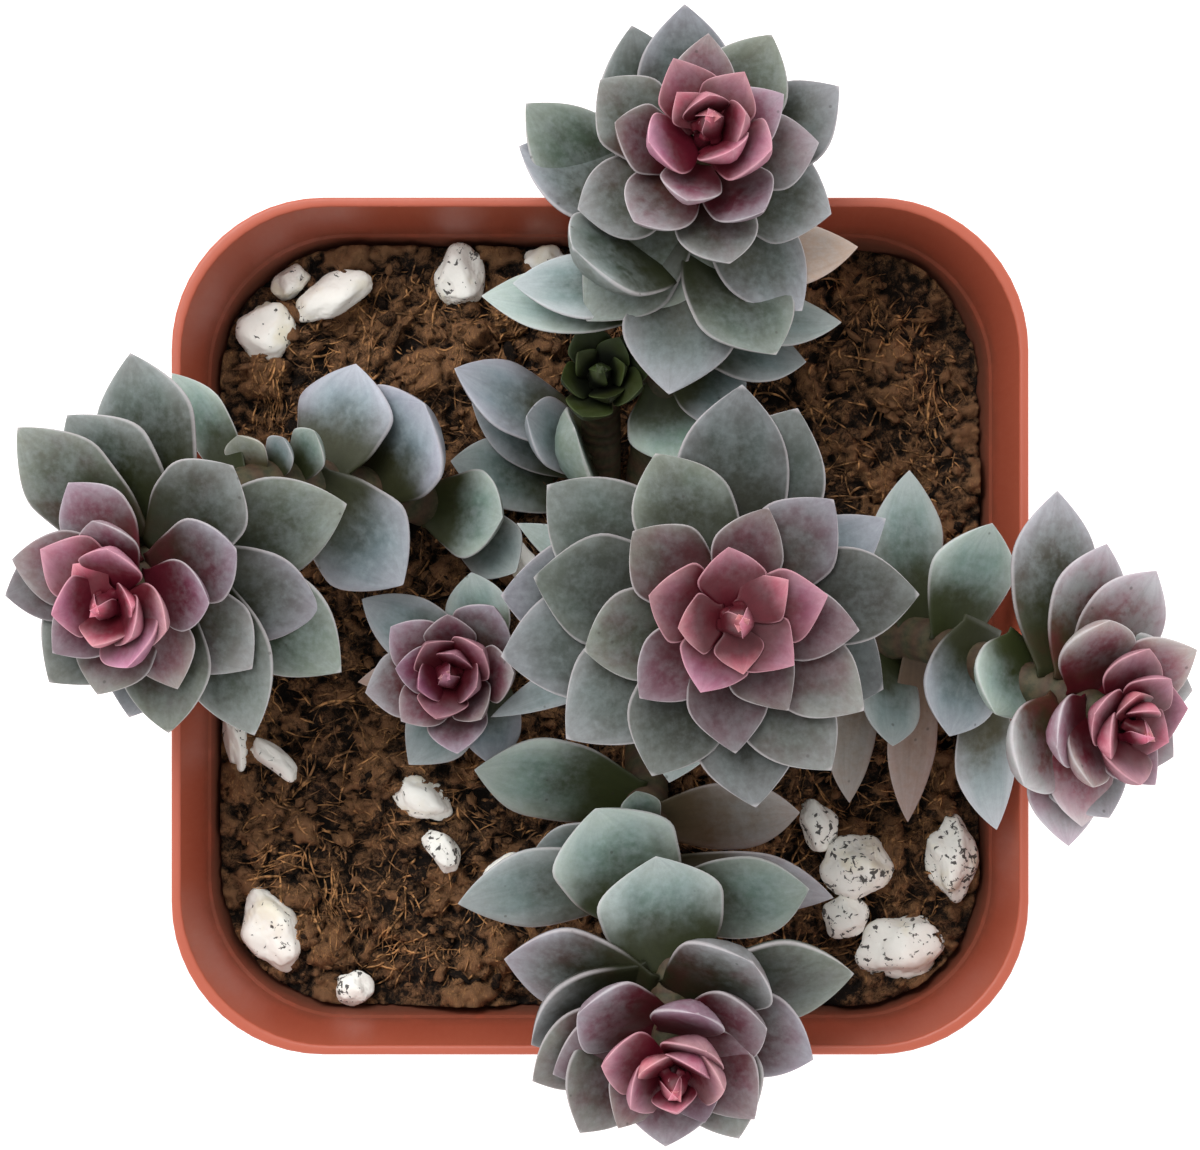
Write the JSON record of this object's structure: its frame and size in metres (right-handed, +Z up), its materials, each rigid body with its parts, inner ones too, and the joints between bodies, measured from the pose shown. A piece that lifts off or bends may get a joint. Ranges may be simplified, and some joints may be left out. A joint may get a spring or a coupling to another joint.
{
  "type": "potted succulent",
  "caption": "Leafy cremnosedum succulent with pink-hearted rosettes on trailing stems, rooted in potting soil with perlite in a square terracotta-coloured plastic nursery pot",
  "frame": {"origin": "centre of the pot's flat underside", "axes": "+Z up, +X to the right of the picture, +Y to its top"},
  "size_m": [0.1023, 0.0986, 0.0947],
  "materials": {
    "terracotta_plastic": "satin moulded plastic",
    "potting_soil": "rough fibrous",
    "perlite": "chalky",
    "grey_green_leaf": "powdery bloom",
    "shaded_leaf": "satin",
    "pink_heart_leaf": "powdery bloom"
  },
  "bodies": {
    "root": {"pot": "terracotta_plastic", "soil": "potting_soil", "perlite_01": "perlite", "perlite_02": "perlite", "perlite_03": "perlite", "perlite_04": "perlite", "perlite_05": "perlite", "perlite_06": "perlite", "perlite_07": "perlite", "perlite_08": "perlite", "perlite_09": "perlite", "perlite_10": "perlite", "perlite_11": "perlite", "perlite_12": "perlite", "perlite_13": "perlite", "perlite_14": "perlite", "perlite_15": "perlite", "perlite_16": "perlite", "perlite_17": "perlite", "perlite_18": "perlite", "stem_centre": "grey_green_leaf", "heart_centre": "pink_heart_leaf", "stem_left": "grey_green_leaf", "heart_left": "pink_heart_leaf", "stem_top": "grey_green_leaf", "heart_top": "pink_heart_leaf", "stem_right": "grey_green_leaf", "heart_right": "pink_heart_leaf", "stem_bottom": "grey_green_leaf", "heart_bottom": "pink_heart_leaf", "stem_side": "grey_green_leaf", "heart_side": "pink_heart_leaf", "stem_shade": "shaded_leaf"}
  },
  "joints": []
}
